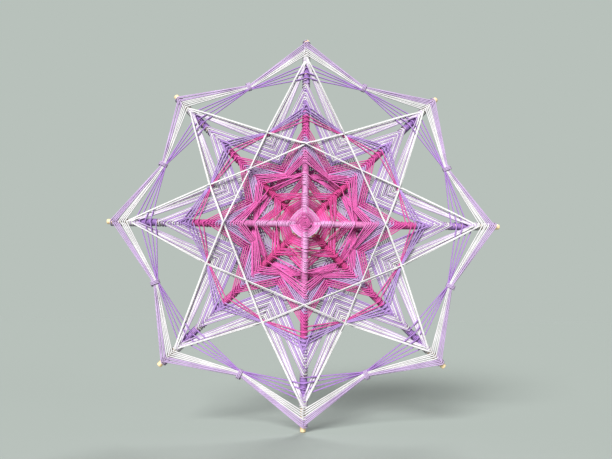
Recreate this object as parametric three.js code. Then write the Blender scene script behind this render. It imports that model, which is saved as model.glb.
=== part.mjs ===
// An ojo de dios: four crossed dowels wound with coloured yarn into an eight-pointed mandala.
// It stands upright in the XZ plane, faces -Y and has its hub at the origin. Millimetres, +Z up.
import * as THREE from 'three';

// Sticks
const stickLength = 300;
const stickDiameter = 4;
const stickChamfer = 0.4;
const stickGap = 0.3;
const stickSides = 14;

// Yarn and the room that it keeps
const yarnDiameter = 1;
const yarnSides = 3;
const wrapClearance = 0.3;
const strandGap = 0.9;
const crossingGap = 1.1;
const crestDrift = 1.6;

// The first round's distance from the hub
const eyeStart = 5.6;

// The next rounds' distances, each from the round before it, as shares of an arm's length
const eyeRingStep = 0.033;
const innerWebStep = 0.036;
const squareStep = 0.073;
const pinkWebStep = 0.067;
const pinkStarStep = 0.093;
const periwinkleStarStep = 0.073;
const magentaStarStep = 0.073;
const magentaWebStep = 0.04;
const purpleWebStep = 0.047;
const lilacStarStep = 0.12;
const violetWebStep = 0.094;
const whiteStarStep = 0.077;
const whiteThreadStep = 0.04;
const whiteRimStep = 0.028;
const lilacRimStep = 0.028;

// Distances from the hub at which the stars pass behind an arm, as shares of its length
const pinkStarPass = 0.207;
const periwinkleStarPass = 0.233;
const magentaStarPass = 0.257;
const lilacStarPass = 0.313;
const whiteStarPass = 0.387;

// How much nearer the hub a star strand passes its second arm than its first
const passStep = 3.6;

// Places midway between the arms where strands meet, as shares of an arm's length from the hub
const knotShare = 0.533;
const tieShare = 0.8;

// Ties round the gathered strands
const bundlePitch = 1.7;
const tieWidth = 2.4;
const tieWall = 0.9;
const tieClearance = 0.45;
const tieCornerSteps = 2;

// Settling of the strands over and under each other
const settlePasses = 400;
const clearPasses = 120;
const straightness = 0.34;
const nodeSpacing = 0.4;
const shoulderLength = 1.6;
const measureStep = 0.5;
const measureSkip = 4;

// Places beside an arm where a strand is held off it, as shares of the room that its rounds take
const ownArmShares = [0.35, 0.7, 0.98];
const passedArmShares = [-0.8, 0, 0.8];

// Sizes that follow from those above
const armCount = 8;
const armTurn = (2 * Math.PI) / armCount;
const stickCount = armCount / 2;
const quarterTurn = Math.PI / 2;
const armLength = stickLength / 2;
const stickRadius = stickDiameter / 2;
const stickSpacing = stickDiameter + stickGap;
const yarnRadius = yarnDiameter / 2;
const wrapSteps = 6;
const wrapTurn = (2 * Math.PI) / wrapSteps;
const wrapRadius = (stickRadius + wrapClearance + yarnRadius) / Math.cos(wrapTurn / 2);
const strandSpacing = yarnDiameter + strandGap;
const crossingSpacing = yarnDiameter + crossingGap;
const crestRadius = wrapRadius + strandSpacing;
const behindReach = wrapRadius + strandSpacing;
const overReach = wrapRadius + strandSpacing + yarnRadius;
const frontReach = crestRadius + strandSpacing;

const eyeRingRadius = eyeStart + eyeRingStep * armLength;
const innerWebRadius = eyeRingRadius + innerWebStep * armLength;
const squareRadius = innerWebRadius + squareStep * armLength;
const pinkWebRadius = squareRadius + pinkWebStep * armLength;
const pinkStarRadius = pinkWebRadius + pinkStarStep * armLength;
const periwinkleStarRadius = pinkStarRadius + periwinkleStarStep * armLength;
const magentaStarRadius = periwinkleStarRadius + magentaStarStep * armLength;
const magentaWebRadius = magentaStarRadius + magentaWebStep * armLength;
const purpleWebRadius = magentaWebRadius + purpleWebStep * armLength;
const lilacStarRadius = purpleWebRadius + lilacStarStep * armLength;
const violetWebRadius = lilacStarRadius + violetWebStep * armLength;
const whiteStarRadius = violetWebRadius + whiteStarStep * armLength;
const whiteThreadRadius = whiteStarRadius + whiteThreadStep * armLength;
const whiteRimRadius = whiteThreadRadius + whiteRimStep * armLength;
const lilacRimRadius = whiteRimRadius + lilacRimStep * armLength;
const knotRadius = knotShare * armLength;
const tieRadius = tieShare * armLength;

// Strands that meet side by side at a knot, from the hub outward
const magentaKnotRadius = knotRadius - bundlePitch / 2;
const purpleKnotRadius = magentaKnotRadius + bundlePitch;
const threadKnotRadius = purpleKnotRadius + bundlePitch;

// Sticks are stacked front to back at the hub, the upright one in front
const stickLayers = [0, 2, 1, 3];
const colours = {
  wood: 0xe9cfa2,
  mauve: 0xc9569b,
  pink: 0xe667ad,
  lightPink: 0xf08cc8,
  periwinkle: 0xb09ad8,
  magenta: 0xd2398f,
  lilac: 0xcdb6e4,
  purple: 0x8f63c4,
  violet: 0x9b72d0,
  white: 0xf3eff3,
};

// Strands with a lower rank lie in front of those that they cross
const threadRank = 0;
const ownArmRank = 0.5;
const webRank = 1;
const backSquareRank = 2;
const frontSquareRank = 3;
const starRank = 10;

// A star round runs from each arm to the third arm on, behind the two between, outer stars further back
function starRound(radius, passShare) {
  const passRadius = passShare * armLength;
  return { radius, hop: 3, rank: starRank + radius, slanted: true, passes: 'behind', passRadius };
}

const windings = [
  { name: 'eye_centre', colour: 'mauve', radius: eyeStart, hop: 2, rank: webRank },
  { name: 'eye_ring', colour: 'lightPink', radius: eyeRingRadius, hop: 2, rank: webRank,
    slanted: true },
  { name: 'inner_web', colour: 'pink', radius: innerWebRadius, hop: 1, rank: webRank },
  { name: 'front_square', colour: 'pink', radius: squareRadius, hop: 2, rank: frontSquareRank,
    slanted: true, passes: 'behind' },
  { name: 'back_square', colour: 'pink', radius: squareRadius, hop: 2, firstArm: 1, rank: backSquareRank,
    slanted: true, passes: 'behind' },
  { name: 'pink_web', colour: 'pink', radius: pinkWebRadius, hop: 1, rank: webRank },
  { name: 'pink_star', colour: 'lightPink', ...starRound(pinkStarRadius, pinkStarPass) },
  { name: 'periwinkle_star', colour: 'periwinkle', ...starRound(periwinkleStarRadius, periwinkleStarPass) },
  { name: 'magenta_star', colour: 'magenta', ...starRound(magentaStarRadius, magentaStarPass) },
  { name: 'magenta_web', colour: 'magenta', radius: magentaWebRadius, hop: 1, rank: webRank,
    drawnTo: magentaKnotRadius },
  { name: 'purple_web', colour: 'purple', radius: purpleWebRadius, hop: 1, rank: webRank,
    drawnTo: purpleKnotRadius },
  { name: 'lilac_star', colour: 'lilac', ...starRound(lilacStarRadius, lilacStarPass) },
  { name: 'violet_web', colour: 'violet', radius: violetWebRadius, hop: 1, rank: webRank,
    drawnTo: tieRadius - bundlePitch, tied: true },
  { name: 'white_star', colour: 'white', ...starRound(whiteStarRadius, whiteStarPass) },
  { name: 'white_thread', colour: 'white', radius: whiteThreadRadius, hop: 3, rank: threadRank,
    slanted: true, passes: 'front', knotted: threadKnotRadius },
  { name: 'white_rim', colour: 'white', radius: whiteRimRadius, hop: 1, rank: webRank, slanted: true,
    drawnTo: tieRadius, tied: true },
  { name: 'lilac_rim', colour: 'lilac', radius: lilacRimRadius, hop: 1, rank: webRank, slanted: true,
    drawnTo: tieRadius + bundlePitch, tied: true },
];

function armAngle(arm) {
  return quarterTurn - arm * armTurn;
}

function onRay(angle, radius) {
  return new THREE.Vector2(Math.cos(angle), Math.sin(angle)).multiplyScalar(radius);
}

function armDepth(arm) {
  const stick = ((arm % stickCount) + stickCount) % stickCount;
  return (stickLayers[stick] - (stickCount - 1) / 2) * stickSpacing;
}

// How far a point of the plan lies beside an arm, positive on its clockwise side
function besideArm(arm, point) {
  const angle = armAngle(arm);
  return point.x * Math.sin(angle) - point.y * Math.cos(angle);
}

// A point on a turn of yarn round an arm: turn is measured from the front, clockwise side first
function aroundArm(arm, along, radius, turn) {
  const angle = armAngle(arm);
  const beside = onRay(angle - quarterTurn, radius * Math.sin(turn));
  const plan = onRay(angle, along).add(beside);
  return new THREE.Vector3(plan.x, armDepth(arm) - radius * Math.cos(turn), plan.y);
}

// A point of the full turn that every strand makes round a stick, which ends over its own start
function wrapPoint(winding, arm, step) {
  const half = wrapSteps / 2;
  const lift = Math.max(0, (step - half) / half) * strandSpacing;
  const along = winding.radius + (crestDrift * step) / wrapSteps;
  return aroundArm(arm, along, wrapRadius + lift, step * wrapTurn);
}

// The arms that a winding goes to in turn, ending at the one where it began
function armsOf(winding) {
  const { hop, firstArm = 0 } = winding;
  const count = armCount % hop === 0 ? armCount / hop : armCount;
  return Array.from({ length: count + 1 }, (_, index) => firstArm + hop * index);
}

// The places where a leg between two visits is tied, knotted or bent behind an arm on its way
function legStops(winding, from, to) {
  const stops = [];
  if (winding.drawnTo !== undefined) {
    const middle = (armAngle(from) + armAngle(to)) / 2;
    const gather = onRay(middle, winding.drawnTo);
    const halfTie = winding.tied ? tieWidth / 2 + tieWall : 0;
    const sideways = onRay(middle - quarterTurn, 1);
    const depth = winding.tied ? tieDepth(from, to) : undefined;
    const sides = winding.tied ? [-halfTie, halfTie] : [0];
    for (const side of sides) {
      stops.push({ plan: gather.clone().addScaledVector(sideways, side), depth });
    }
  }
  if (winding.knotted !== undefined) {
    stops.push({ plan: onRay(armAngle(from + 0.5), winding.knotted) });
    stops.push({ plan: onRay(armAngle(to - 0.5), winding.knotted - bundlePitch) });
  }
  if (winding.passRadius !== undefined) {
    for (let arm = from + 1; arm < to; arm += 1) {
      const inward = (arm - from - 1) * passStep;
      stops.push({ plan: onRay(armAngle(arm), winding.passRadius - inward) });
    }
  }
  return stops;
}

function tieDepth(arm, nextArm) {
  return (armDepth(arm) + armDepth(nextArm)) / 2 - wrapRadius;
}

// One leg of yarn as a chain of nodes, whose depths are settled later
function makeLeg(winding, from, to) {
  const start = wrapPoint(winding, from, wrapSteps);
  const end = wrapPoint(winding, to, 0);
  const leg = { winding, from, to, nodes: [] };
  const corners = [
    { plan: new THREE.Vector2(start.x, start.z), depth: start.y },
    ...legStops(winding, from, to),
    { plan: new THREE.Vector2(end.x, end.z), depth: end.y },
  ];
  let length = 0;
  corners.forEach((corner, index) => {
    if (index > 0) {
      length += corner.plan.distanceTo(corners[index - 1].plan);
    }
    addNode(leg, length, corner.plan, corner.depth);
  });
  leg.length = length;
  leg.corners = leg.nodes.slice();
  holdOffOwnArm(leg, from);
  if (winding.slanted) {
    holdOffOwnArm(leg, to);
  }
  if (winding.passes) {
    for (let arm = from + 1; arm < to; arm += 1) {
      holdOffPassedArm(leg, arm, winding.passes === 'front');
    }
  }
  return leg;
}

// A node of a leg, or the one that is already there
function addNode(leg, at, plan, fixedDepth) {
  const present = leg.nodes.find((node) => Math.abs(node.at - at) < nodeSpacing);
  if (present) {
    return present;
  }
  const node = {
    at,
    plan,
    depth: fixedDepth,
    fixed: fixedDepth !== undefined,
    low: -Infinity,
    high: Infinity,
  };
  leg.nodes.push(node);
  return node;
}

function nodeBetween(leg, before, after, share) {
  const plan = before.plan.clone().lerp(after.plan, share);
  return addNode(leg, before.at + share * (after.at - before.at), plan);
}

// Rounds of one size cross at a sharp angle, so the rear strand stays clear for a little way on each side
function shoulderNodes(leg, before, after, share) {
  const step = shoulderLength / (after.at - before.at);
  const shares = [share - step, share + step].filter((at) => at > 0 && at < 1);
  return shares.map((at) => nodeBetween(leg, before, after, at));
}

// Nodes where the leg lies a given distance beside an arm, on the arm's own side of the hub
function nodesBeside(leg, arm, beside) {
  const found = [];
  for (let index = 1; index < leg.corners.length; index += 1) {
    const before = leg.corners[index - 1];
    const after = leg.corners[index];
    const first = besideArm(arm, before.plan) - beside;
    const last = besideArm(arm, after.plan) - beside;
    if (first * last < 0) {
      const share = first / (first - last);
      const plan = before.plan.clone().lerp(after.plan, share);
      if (plan.dot(onRay(armAngle(arm), 1)) > 0) {
        found.push(nodeBetween(leg, before, after, share));
      }
    }
  }
  return found;
}

// A strand keeps in front of its own turn and of the rounds that lie further in on its own arm
function holdOffOwnArm(leg, arm) {
  for (const share of ownArmShares) {
    const beside = share * overReach;
    const high = armDepth(arm) - Math.sqrt(overReach ** 2 - beside ** 2);
    for (const side of [-beside, beside]) {
      for (const node of nodesBeside(leg, arm, side)) {
        node.high = high;
      }
    }
  }
}

// A strand that passes an arm goes wholly in front of its rounds, or wholly behind them
function holdOffPassedArm(leg, arm, inFront) {
  for (const share of passedArmShares) {
    for (const node of nodesBeside(leg, arm, share * behindReach)) {
      if (inFront) {
        node.high = armDepth(arm) - frontReach;
      } else {
        node.low = armDepth(arm) + behindReach;
      }
    }
  }
}

// The rank of a leg at a place: a slanted strand lies further forward where it meets its own arm
function rankAt(leg, plan) {
  const { rank, slanted } = leg.winding;
  const near = [leg.from, leg.to].some((arm) => {
    const ahead = plan.dot(onRay(armAngle(arm), 1)) > 0;
    return ahead && Math.abs(besideArm(arm, plan)) < overReach;
  });
  return slanted && near ? Math.min(rank, ownArmRank) : rank;
}

// Where two straight stretches cross in plan, as the share along each, or nothing
function crossing(a, b, c, d) {
  const first = b.clone().sub(a);
  const second = d.clone().sub(c);
  const turn = first.cross(second);
  if (Math.abs(turn) < 1e-9) {
    return undefined;
  }
  const offset = c.clone().sub(a);
  const share = offset.cross(second) / turn;
  const otherShare = offset.cross(first) / turn;
  const inside = share > 0 && share < 1 && otherShare > 0 && otherShare < 1;
  return inside ? { share, otherShare } : undefined;
}

function crossLegs(leg, other) {
  const crossings = [];
  for (let i = 1; i < leg.corners.length; i += 1) {
    for (let j = 1; j < other.corners.length; j += 1) {
      const [a, b] = [leg.corners[i - 1], leg.corners[i]];
      const [c, d] = [other.corners[j - 1], other.corners[j]];
      const hit = crossing(a.plan, b.plan, c.plan, d.plan);
      if (hit) {
        const plan = a.plan.clone().lerp(b.plan, hit.share);
        const mine = nodeBetween(leg, a, b, hit.share);
        const theirs = nodeBetween(other, c, d, hit.otherShare);
        const byRank = rankAt(leg, plan) - rankAt(other, plan);
        const lead = byRank || mine.at / leg.length - theirs.at / other.length;
        const [front, back] = lead < 0 ? [mine, theirs] : [theirs, mine];
        crossings.push({ front, back });
        if (leg.winding.radius === other.winding.radius) {
          const rear = lead < 0 ? [other, c, d, hit.otherShare] : [leg, a, b, hit.share];
          crossings.push(...shoulderNodes(...rear).map((shoulder) => ({ front, back: shoulder })));
        }
      }
    }
  }
  return crossings;
}

function inBounds(node) {
  node.depth = Math.min(Math.max(node.depth, node.low), node.high);
}

// Pull every leg taut, and push strands apart wherever they cross
function settle(legs, crossings) {
  for (const leg of legs) {
    leg.nodes.sort((a, b) => a.at - b.at);
    const ends = [leg.nodes[0], leg.nodes.at(-1)];
    for (const node of leg.nodes) {
      node.depth ??= THREE.MathUtils.lerp(ends[0].depth, ends[1].depth, node.at / leg.length);
    }
  }
  for (let pass = 0; pass < settlePasses + clearPasses; pass += 1) {
    for (const leg of legs) {
      leg.nodes.forEach((node, index) => {
        if (!node.fixed) {
          if (pass < settlePasses) {
            const before = leg.nodes[index - 1];
            const after = leg.nodes[index + 1];
            const share = (node.at - before.at) / Math.max(after.at - before.at, 1e-6);
            node.depth = THREE.MathUtils.lerp(before.depth, after.depth, share);
          }
          inBounds(node);
        }
      });
    }
    for (const { front, back } of crossings) {
      const short = crossingSpacing - (back.depth - front.depth);
      if (short > 0) {
        const frontShare = front.fixed ? 0 : back.fixed ? 1 : 0.5;
        front.depth -= short * frontShare;
        back.depth += short * (1 - frontShare);
        if (!front.fixed) {
          inBounds(front);
        }
        if (!back.fixed) {
          inBounds(back);
        }
      }
    }
  }
}

// Leave out the points that lie on a straight stretch
function simplify(points) {
  const line = new THREE.Line3(points[0], points.at(-1));
  let worst = 0;
  let worstAt = 0;
  points.forEach((point, index) => {
    const off = line.closestPointToPoint(point, true, new THREE.Vector3()).distanceTo(point);
    if (off > worst) {
      worst = off;
      worstAt = index;
    }
  });
  if (worst <= straightness) {
    return [points[0], points.at(-1)];
  }
  const head = simplify(points.slice(0, worstAt + 1));
  return [...head.slice(0, -1), ...simplify(points.slice(worstAt))];
}

// The whole unbroken run of one winding: a turn round each arm, and a leg on to the next
function windingPath(winding, arms, legs) {
  const points = [];
  arms.forEach((arm, index) => {
    const first = index === 0 ? wrapSteps / 2 : 0;
    const last = index === arms.length - 1 ? wrapSteps / 2 - 1 : wrapSteps;
    for (let step = first; step <= last; step += 1) {
      points.push(wrapPoint(winding, arm, step));
    }
    if (legs[index]) {
      const { nodes } = legs[index];
      const run = nodes.map((node) => new THREE.Vector3(node.plan.x, node.depth, node.plan.y));
      points.push(...simplify(run).slice(1, -1));
    }
  });
  return points;
}

// Least gap between parts of a run that aren't next to each other, measured on points along it
function selfGap(path) {
  const samples = [];
  let length = 0;
  for (let index = 1; index < path.length; index += 1) {
    const step = path[index].distanceTo(path[index - 1]);
    const count = Math.ceil(step / measureStep);
    for (let part = 0; part < count; part += 1) {
      const share = part / count;
      const point = path[index - 1].clone().lerp(path[index], share);
      samples.push({ at: length + share * step, point });
    }
    length += step;
  }
  let least = Infinity;
  for (let i = 0; i < samples.length; i += 1) {
    for (let j = i + 1; j < samples.length; j += 1) {
      if (samples[j].at - samples[i].at > measureSkip) {
        least = Math.min(least, samples[i].point.distanceToSquared(samples[j].point));
      }
    }
  }
  return Math.sqrt(least) - yarnDiameter;
}

// A closed tube along a run of points
function tubeGeometry(path) {
  const positions = [];
  const index = [];
  const across = new THREE.Vector3();
  path.forEach((point, at) => {
    const before = path[Math.max(at - 1, 0)];
    const after = path[Math.min(at + 1, path.length - 1)];
    const into = point.clone().sub(before).normalize();
    const outOf = after.clone().sub(point).normalize();
    const along = into.add(outOf).normalize();
    if (at === 0) {
      across.set(-along.z, 0, along.x);
    }
    across.addScaledVector(along, -across.dot(along)).normalize();
    const third = new THREE.Vector3().crossVectors(along, across);
    for (let side = 0; side < yarnSides; side += 1) {
      const turn = (2 * Math.PI * side) / yarnSides;
      const corner = point.clone();
      corner.addScaledVector(across, yarnRadius * Math.cos(turn));
      corner.addScaledVector(third, yarnRadius * Math.sin(turn));
      positions.push(corner.x, corner.y, corner.z);
    }
  });
  for (let ring = 0; ring + 1 < path.length; ring += 1) {
    for (let side = 0; side < yarnSides; side += 1) {
      const next = (side + 1) % yarnSides;
      const a = ring * yarnSides + side;
      const b = ring * yarnSides + next;
      index.push(a, b, a + yarnSides, b, b + yarnSides, a + yarnSides);
    }
  }
  const last = (path.length - 1) * yarnSides;
  for (let side = 1; side + 1 < yarnSides; side += 1) {
    index.push(0, side + 1, side);
    index.push(last, last + side, last + side + 1);
  }
  const geometry = new THREE.BufferGeometry();
  geometry.setAttribute('position', new THREE.Float32BufferAttribute(positions, 3));
  geometry.setIndex(index);
  geometry.computeVertexNormals();
  return geometry;
}

function yarnMaterial(colour) {
  return new THREE.MeshStandardMaterial({ color: colours[colour], roughness: 0.85, metalness: 0 });
}

function makeStick(name, arm) {
  const profile = [
    new THREE.Vector2(0, -armLength),
    new THREE.Vector2(stickRadius - stickChamfer, -armLength),
    new THREE.Vector2(stickRadius, -armLength + stickChamfer),
    new THREE.Vector2(stickRadius, armLength - stickChamfer),
    new THREE.Vector2(stickRadius - stickChamfer, armLength),
    new THREE.Vector2(0, armLength),
  ];
  const material = new THREE.MeshStandardMaterial({ color: colours.wood, roughness: 0.7, metalness: 0 });
  const stick = new THREE.Mesh(new THREE.LatheGeometry(profile, stickSides), material);
  stick.name = name;
  stick.position.y = armDepth(arm);
  stick.rotation.set(quarterTurn, arm * armTurn, 0, 'YXZ');
  return stick;
}

// A slot with round ends, for the inside and the outside of a tie
function slotOutline(outline, halfLength, radius) {
  outline.absarc(halfLength, 0, radius, -quarterTurn, quarterTurn, false);
  outline.absarc(-halfLength, 0, radius, quarterTurn, 3 * quarterTurn, false);
  return outline;
}

function makeTie(gap) {
  const inside = yarnRadius + tieClearance;
  const outline = slotOutline(new THREE.Shape(), bundlePitch, inside + tieWall);
  outline.holes.push(slotOutline(new THREE.Path(), bundlePitch, inside));
  const settings = { depth: tieWidth, bevelEnabled: false, curveSegments: 2 * tieCornerSteps };
  const geometry = new THREE.ExtrudeGeometry(outline, settings).translate(0, 0, -tieWidth / 2);
  const tie = new THREE.Mesh(geometry, yarnMaterial('lilac'));
  tie.name = `tie_${gap + 1}`;
  const angle = armAngle(gap + 0.5);
  const middle = onRay(angle, tieRadius);
  tie.position.set(middle.x, tieDepth(gap, gap + 1), middle.y);
  const outward = new THREE.Vector3(Math.cos(angle), 0, Math.sin(angle));
  const back = new THREE.Vector3(0, 1, 0);
  const along = new THREE.Vector3().crossVectors(outward, back);
  tie.setRotationFromMatrix(new THREE.Matrix4().makeBasis(outward, back, along));
  return tie;
}

function makeWindings() {
  const runs = windings.map((winding) => {
    const arms = armsOf(winding);
    const legs = arms.slice(1).map((arm, index) => makeLeg(winding, arms[index], arm));
    return { winding, arms, legs };
  });
  const legs = runs.flatMap((run) => run.legs);
  const crossings = [];
  legs.forEach((leg, index) => {
    for (const other of legs.slice(index + 1)) {
      crossings.push(...crossLegs(leg, other));
    }
  });
  settle(legs, crossings);
  return runs.map(({ winding, arms, legs: own }) => {
    const path = windingPath(winding, arms, own);
    console.log(`${winding.name}: least gap to itself ${selfGap(path).toFixed(2)} mm`);
    const mesh = new THREE.Mesh(tubeGeometry(path), yarnMaterial(winding.colour));
    mesh.name = winding.name;
    return mesh;
  });
}

const ojo = new THREE.Group();
ojo.add(makeStick('upright_stick', 0));
ojo.add(makeStick('rising_stick', 1));
ojo.add(makeStick('level_stick', 2));
ojo.add(makeStick('falling_stick', 3));
ojo.add(...makeWindings());
for (let gap = 0; gap < armCount; gap += 1) {
  ojo.add(makeTie(gap));
}

export default ojo;
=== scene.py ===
import math
from dataclasses import dataclass
from functools import lru_cache

import bpy
import numpy as np
from bpy.props import FloatProperty, FloatVectorProperty, IntProperty, PointerProperty
from mathutils import Matrix, Vector


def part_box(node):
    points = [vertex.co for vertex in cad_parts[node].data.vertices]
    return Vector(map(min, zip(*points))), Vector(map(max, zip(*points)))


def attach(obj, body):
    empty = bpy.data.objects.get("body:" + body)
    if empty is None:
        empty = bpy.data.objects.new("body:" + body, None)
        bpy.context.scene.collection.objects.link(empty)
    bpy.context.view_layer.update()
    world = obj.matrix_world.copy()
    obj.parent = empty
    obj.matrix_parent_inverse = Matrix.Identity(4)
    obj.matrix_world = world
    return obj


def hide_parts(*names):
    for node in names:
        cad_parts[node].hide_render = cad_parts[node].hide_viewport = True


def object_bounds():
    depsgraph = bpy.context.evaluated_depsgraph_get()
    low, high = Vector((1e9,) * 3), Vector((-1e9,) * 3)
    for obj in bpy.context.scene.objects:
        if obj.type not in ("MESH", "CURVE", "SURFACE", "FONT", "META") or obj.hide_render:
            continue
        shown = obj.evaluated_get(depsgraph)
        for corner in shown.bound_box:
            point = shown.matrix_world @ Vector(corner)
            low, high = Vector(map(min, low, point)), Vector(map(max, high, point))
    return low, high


bl_info = {
    "name": "Ojo de dios",
    "version": (1, 0, 0),
    "blender": (4, 5, 0),
    "location": "View3D > Sidebar > Ojo",
    "description": "Winds an eight-pointed yarn mandala on four crossed sticks",
    "category": "Add Mesh",
}

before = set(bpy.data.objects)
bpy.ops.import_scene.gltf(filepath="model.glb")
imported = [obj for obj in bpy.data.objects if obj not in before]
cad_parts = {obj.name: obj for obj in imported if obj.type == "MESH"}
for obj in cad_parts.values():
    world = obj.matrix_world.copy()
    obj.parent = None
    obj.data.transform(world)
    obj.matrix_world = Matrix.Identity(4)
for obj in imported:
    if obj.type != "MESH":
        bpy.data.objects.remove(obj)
CAD_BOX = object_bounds()

# Paths of yarn are worked out in millimetres and scaled to metres when their mesh is made
MM = 0.001
STICKS = ("upright_stick", "rising_stick", "level_stick", "falling_stick")
STICK_BOXES = [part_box(name) for name in STICKS]
STICK_LENGTH = STICK_BOXES[0][1].z - STICK_BOXES[0][0].z
STICK_DIAMETER = STICK_BOXES[0][1].y - STICK_BOXES[0][0].y
STICK_DEPTHS = [(low.y + high.y) / 2 / MM for low, high in STICK_BOXES]

ARMS = 8
ARM_TURN = 2 * math.pi / ARMS

# Strands with a lower rank lie in front of those that they cross, and each millimetre outward adds a step
THREAD_RANK = 0.0
OWN_ARM_RANK = 0.5
WEB_RANK = 1.0
BACK_SQUARE_RANK = 2.0
FRONT_SQUARE_RANK = 3.0
STAR_RANK = 10.0
RANK_STEP = 0.01

# Points along the yarn, and the passes that pull it taut and press crossing strands apart
LEG_POINTS = 73
TURN_POINTS = 12
SETTLE_PASSES = 160
CLEAR_PASSES = 30
PULL = 0.5
PRESS = 0.45
SEED = 8

# Share of a stretch at its ends in which no crossing counts, and the size under which a value is nothing
CROSSING_MARGIN = 0.004
NEARLY_ZERO = 1e-9

# Turns on a stick: their pitch, and the share of a turn that a round may leave out
COIL_PITCH = 1.02
COIL_SLACK = 0.2

# How far the start and end of the turns, and the legs from and to them, lie over other turns, in diameters
START_LIFT = 0.5
END_LIFT = 1.1
LEAVING_LIFT = 0.6
REACHING_LIFT = 0.4

# Knots midway between the arms, where strands are drawn together
KNOT_RADIUS = 80.0
KNOT_PITCH = 0.35
THREAD_KNOT_DEPTH = 0.0
WEB_KNOT_DEPTH = 1.2

# Ties midway between the arms, and how the strands that they hold lie side by side in two layers
TIE_RADIUS = 120.0
TIE_PITCH = 0.42
TIE_LAYER = 0.42
TIE_HALF_WIDTH = 2.6
TIE_HALF_OUT = 3.3
TIE_HALF_DEEP = 1.5

# How much nearer the hub a star strand passes its second arm than its first
PASS_STEP = 0.5

# The flat coil over the hub: its turns, its start in diameters of yarn, and how far its rim falls back
HUB_TURNS = 4
HUB_START = 0.3
HUB_DOME = 0.9

# Places between two arms where the rounds of the eye bulge outward
BULGE_PLACES = (0.2, 0.4, 0.6, 0.8)

# Painted highlight on the upright and level sticks: lighter yarns from the front crest sideways, where
# light catches the turns, and the steps between them
PAINTED_SPINE_HIGHLIGHT = ("pale_pink", "light_pink")
PAINTED_OUTER_HIGHLIGHT = ("light_pink", "light_pink")
HIGHLIGHT_STEP_TURN = math.radians(30)
HIGHLIGHT_STEP_WIDTH = 1.25

# Colours of the rounds of the many-coloured bands, from the hub outward
EYE_RING_YARNS = ("light_pink", "light_pink", "pale_pink", "light_pink", "pale_pink")
LILAC_STAR_YARNS = ("purple", "purple", "white", "lilac", "white", "purple", "lilac", "white", "lilac")
WHITE_STAR_YARNS = ("lilac", "white", "lilac", "white", "white", "lilac", "white")

# Finish of the yarn: shares of fibres, plies and dye in its tone, the facing from which a strand's side has
# no painted shade, the power and level of the darker copy of each dye, which is painted shade between the
# plies and on the strand sides and the dark of uneven dye and fibres, and its plies' relief
FIBRE_SHARE = 0.6
PLY_SHARE = 0.42
DYE_SHARE = 0.5
UNSHADED_FACING = 0.9
SHADE_AND_DARK_DYE_POWER = 1.35
SHADE_AND_DARK_DYE_LEVEL = 0.26
PLY_RELIEF = 0.12

# Sticks: faces round them, and the angle under which these look smooth
STICK_SIDES = 24
SMOOTH_ANGLE = math.radians(40)

# Floor under the lowest tip
FLOOR_HEIGHT = CAD_BOX[0].z
FLOOR_GAP = 0.0002
FLOOR_RADIUS = 12
FLOOR_SIDES = 96

# Soft lights as the direction that each comes from and its strength, and the light from all round
LIGHTS = (
    ("key", Vector((-0.42, -0.92, 0.66)).normalized(), 5.3),
    ("fill", Vector((0.8, -0.6, 0.25)).normalized(), 0.3),
    ("back", Vector((0.3, 0.9, 0.6)).normalized(), 2.6),
)
LIGHT_SPREAD = math.radians(28)
AROUND_LIGHT = 0.17

# The photograph's view, as the turn and shift that bring the mandala before the lens
VIEW_TURNS = (math.radians(-9.80), math.radians(0.57), math.radians(1.33))
VIEW_SHIFT = Vector((-0.00092, 0.38524, 0.00358))
FOCAL_PIXELS = 500
IMAGE_WIDTH = 612


@dataclass(frozen=True)
class Band:
    """Rounds of one winding that lie next to each other along the arms, sizes in millimetres.

    Start is the first round's distance from the hub. A strand runs hop arms on, goes round the stick in
    so many turns, which climb along it, and passes the arms between in front or behind. On the diagonal
    arms the diagonal values hold. Behind, gather and knotted say where the strands lie between the arms.
    The crest yarns are a painted highlight of lighter yarn on the front of the upright and level sticks,
    and the painted shade coils are a darker yarn on the diagonal sticks.
    """

    node: str
    slot: str
    yarns: tuple
    start: float
    rounds: int
    pitch: float
    hop: int = 1
    first_arm: int = 0
    turns: int = 1
    climb: float = 0.0
    diagonal_start: float = 0.0
    diagonal_turns: int = 0
    bulge: tuple = ()
    # Painted highlight: lighter yarns on the front crest of the upright and level sticks
    crest: tuple = ()
    # Painted shade: a darker yarn for the coils on the diagonal sticks
    painted_shade_coils: str = ""
    rank: float = WEB_RANK
    slanted: bool = False
    passes: str = ""
    behind: tuple = ()
    gather: float = 0.0
    gather_pitch: float = 0.0
    tied: bool = False
    knotted: float = 0.0


def star(node, slot, yarns, start, rounds, pitch, behind, crest=()):
    """A star band: every strand runs to the third arm on, behind the two arms between.

    There the strands crowd together between the two distances from the hub that behind gives.
    """
    turns = math.ceil(pitch / COIL_PITCH - COIL_SLACK)
    return Band(node, slot, yarns, start, rounds, pitch, hop=3, turns=turns, climb=pitch, crest=crest,
                rank=STAR_RANK + start, slanted=True, passes="behind", behind=behind)


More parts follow.
